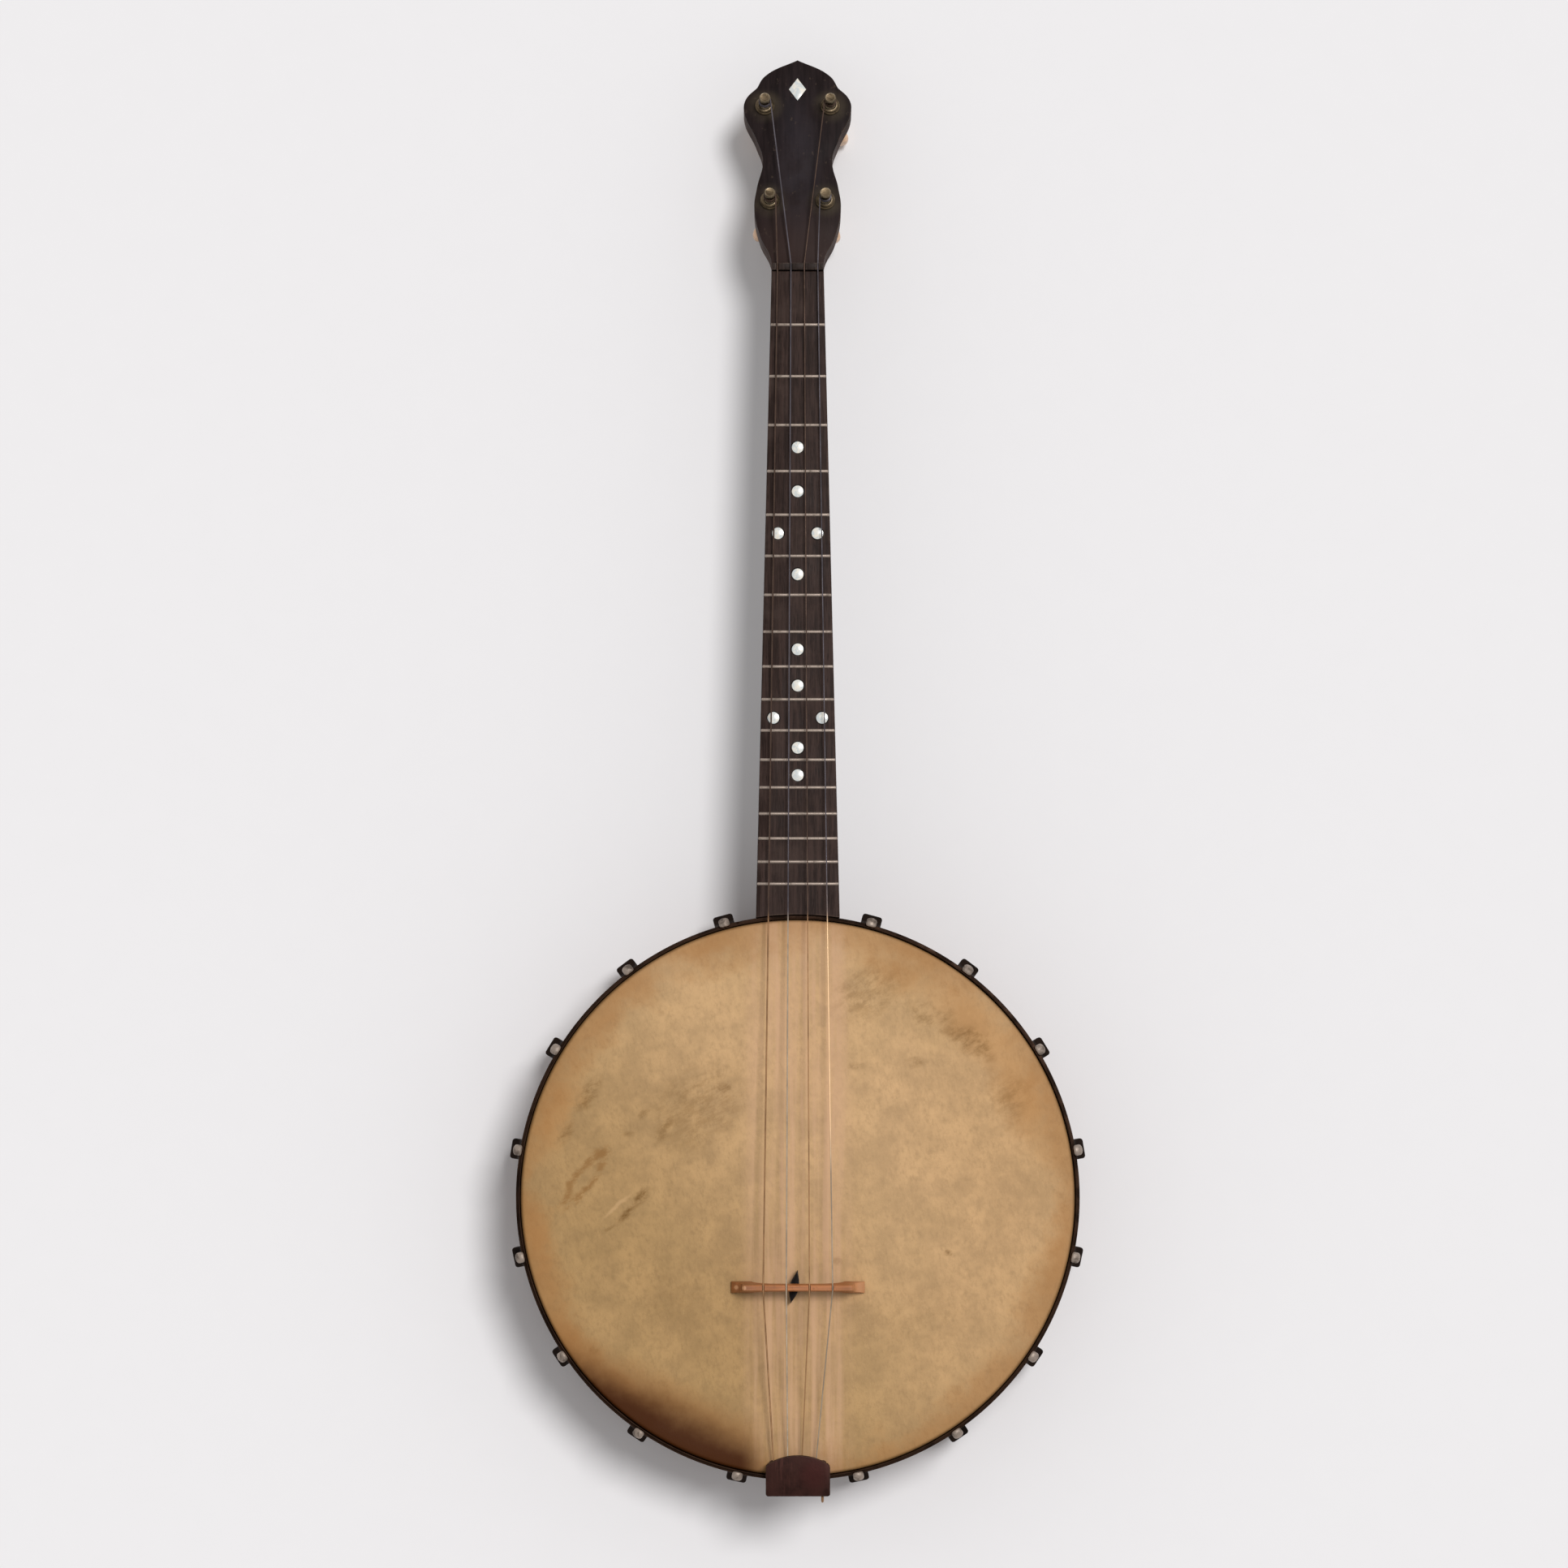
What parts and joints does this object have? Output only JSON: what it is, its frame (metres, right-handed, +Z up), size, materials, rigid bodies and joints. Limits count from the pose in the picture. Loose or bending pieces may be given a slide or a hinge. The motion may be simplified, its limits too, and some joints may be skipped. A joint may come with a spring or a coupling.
{
  "type": "tenor banjo",
  "caption": "Open-backed tenor banjo with a worn skin head, bracket hooks round its pot, a long dark fretted neck with pearl dots, turning pegs and a hinged tailpiece cover.",
  "frame": {"origin": "middle of the banjo's length and width, on the plane of the rim's back edge, which it lies on", "axes": "+Z up out of the face, +Y along the neck towards the headstock, +X to the right as the face is seen with the headstock up"},
  "size_m": [0.2952, 0.7378, 0.0904],
  "materials": {
    "rim_wood": "dark brown varnish, worn",
    "tone_brass": "tarnished brass",
    "skin": "aged calf skin, stained",
    "dark_metal": "blackened, tarnished metal",
    "grey_metal": "dull nickel over steel",
    "neck_wood": "dark brown varnish",
    "board_wood": "oiled dark wood, pearl dots",
    "headstock_veneer": "black-brown veneer, worn varnish",
    "dowel_wood": "bare maple, darkened",
    "maple": "orange-brown maple",
    "ebony": "black wood",
    "string_steel": "steel wire",
    "peg_brass": "tarnished brass, cream buttons",
    "tail_metal": "dark red-brown tarnish"
  },
  "bodies": {
    "banjo": {"rim": "rim_wood", "tone_ring": "tone_brass", "skin_head": "skin", "tension_hoop": "dark_metal", "bracket_hook_01": "grey_metal", "bracket_hook_02": "grey_metal", "bracket_hook_03": "grey_metal", "bracket_hook_04": "grey_metal", "bracket_hook_05": "grey_metal", "bracket_hook_06": "grey_metal", "bracket_hook_07": "grey_metal", "bracket_hook_08": "grey_metal", "bracket_hook_09": "grey_metal", "bracket_hook_10": "grey_metal", "bracket_hook_11": "grey_metal", "bracket_hook_12": "grey_metal", "bracket_hook_13": "grey_metal", "bracket_hook_14": "grey_metal", "bracket_hook_15": "grey_metal", "bracket_hook_16": "grey_metal", "bracket_shoe_01": "dark_metal", "bracket_shoe_02": "dark_metal", "bracket_shoe_03": "dark_metal", "bracket_shoe_04": "dark_metal", "bracket_shoe_05": "dark_metal", "bracket_shoe_06": "dark_metal", "bracket_shoe_07": "dark_metal", "bracket_shoe_08": "dark_metal", "bracket_shoe_09": "dark_metal", "bracket_shoe_10": "dark_metal", "bracket_shoe_11": "dark_metal", "bracket_shoe_12": "dark_metal", "bracket_shoe_13": "dark_metal", "bracket_shoe_14": "dark_metal", "bracket_shoe_15": "dark_metal", "bracket_shoe_16": "dark_metal", "dowel_stick": "dowel_wood", "neck_brace": "grey_metal", "neck": "neck_wood", "fingerboard": "board_wood", "headstock_overlay": "headstock_veneer", "nut": "ebony", "peg_collar_upper_left": "grey_metal", "peg_collar_upper_right": "grey_metal", "peg_collar_lower_left": "grey_metal", "peg_collar_lower_right": "grey_metal", "bridge": "maple", "mute_wedge": "ebony", "string_1": "string_steel", "string_2": "string_steel", "string_3": "string_steel", "string_4": "string_steel", "tailpiece_base": "tail_metal", "tailpiece_hinge_pin": "grey_metal", "tailpiece_bolt": "grey_metal"},
    "cover": {"tailpiece_cover": "tail_metal"},
    "peg_1": {"peg_lower_left": "peg_brass"},
    "peg_2": {"peg_upper_left": "peg_brass"},
    "peg_3": {"peg_upper_right": "peg_brass"},
    "peg_4": {"peg_lower_right": "peg_brass"}
  },
  "joints": [
    {"name": "lower_left_peg_turn", "type": "hinge", "parent": "banjo", "child": "peg_1", "pos_m": [-0.0143, 0.29252, 0.05512], "axis": [0, 0.2164, 0.9763], "continuous": true},
    {"name": "upper_left_peg_turn", "type": "hinge", "parent": "banjo", "child": "peg_2", "pos_m": [-0.0169, 0.34358, 0.0438], "axis": [0, 0.2164, 0.9763], "continuous": true},
    {"name": "upper_right_peg_turn", "type": "hinge", "parent": "banjo", "child": "peg_3", "pos_m": [0.0169, 0.34358, 0.0438], "axis": [0, 0.2164, 0.9763], "continuous": true},
    {"name": "lower_right_peg_turn", "type": "hinge", "parent": "banjo", "child": "peg_4", "pos_m": [0.0143, 0.29252, 0.05512], "axis": [0, 0.2164, 0.9763], "continuous": true},
    {"name": "cover_hinge", "type": "hinge", "parent": "banjo", "child": "cover", "pos_m": [0, -0.36687, 0.0781], "axis": [1, 0, 0], "range_deg": [0, 100]}
  ]
}
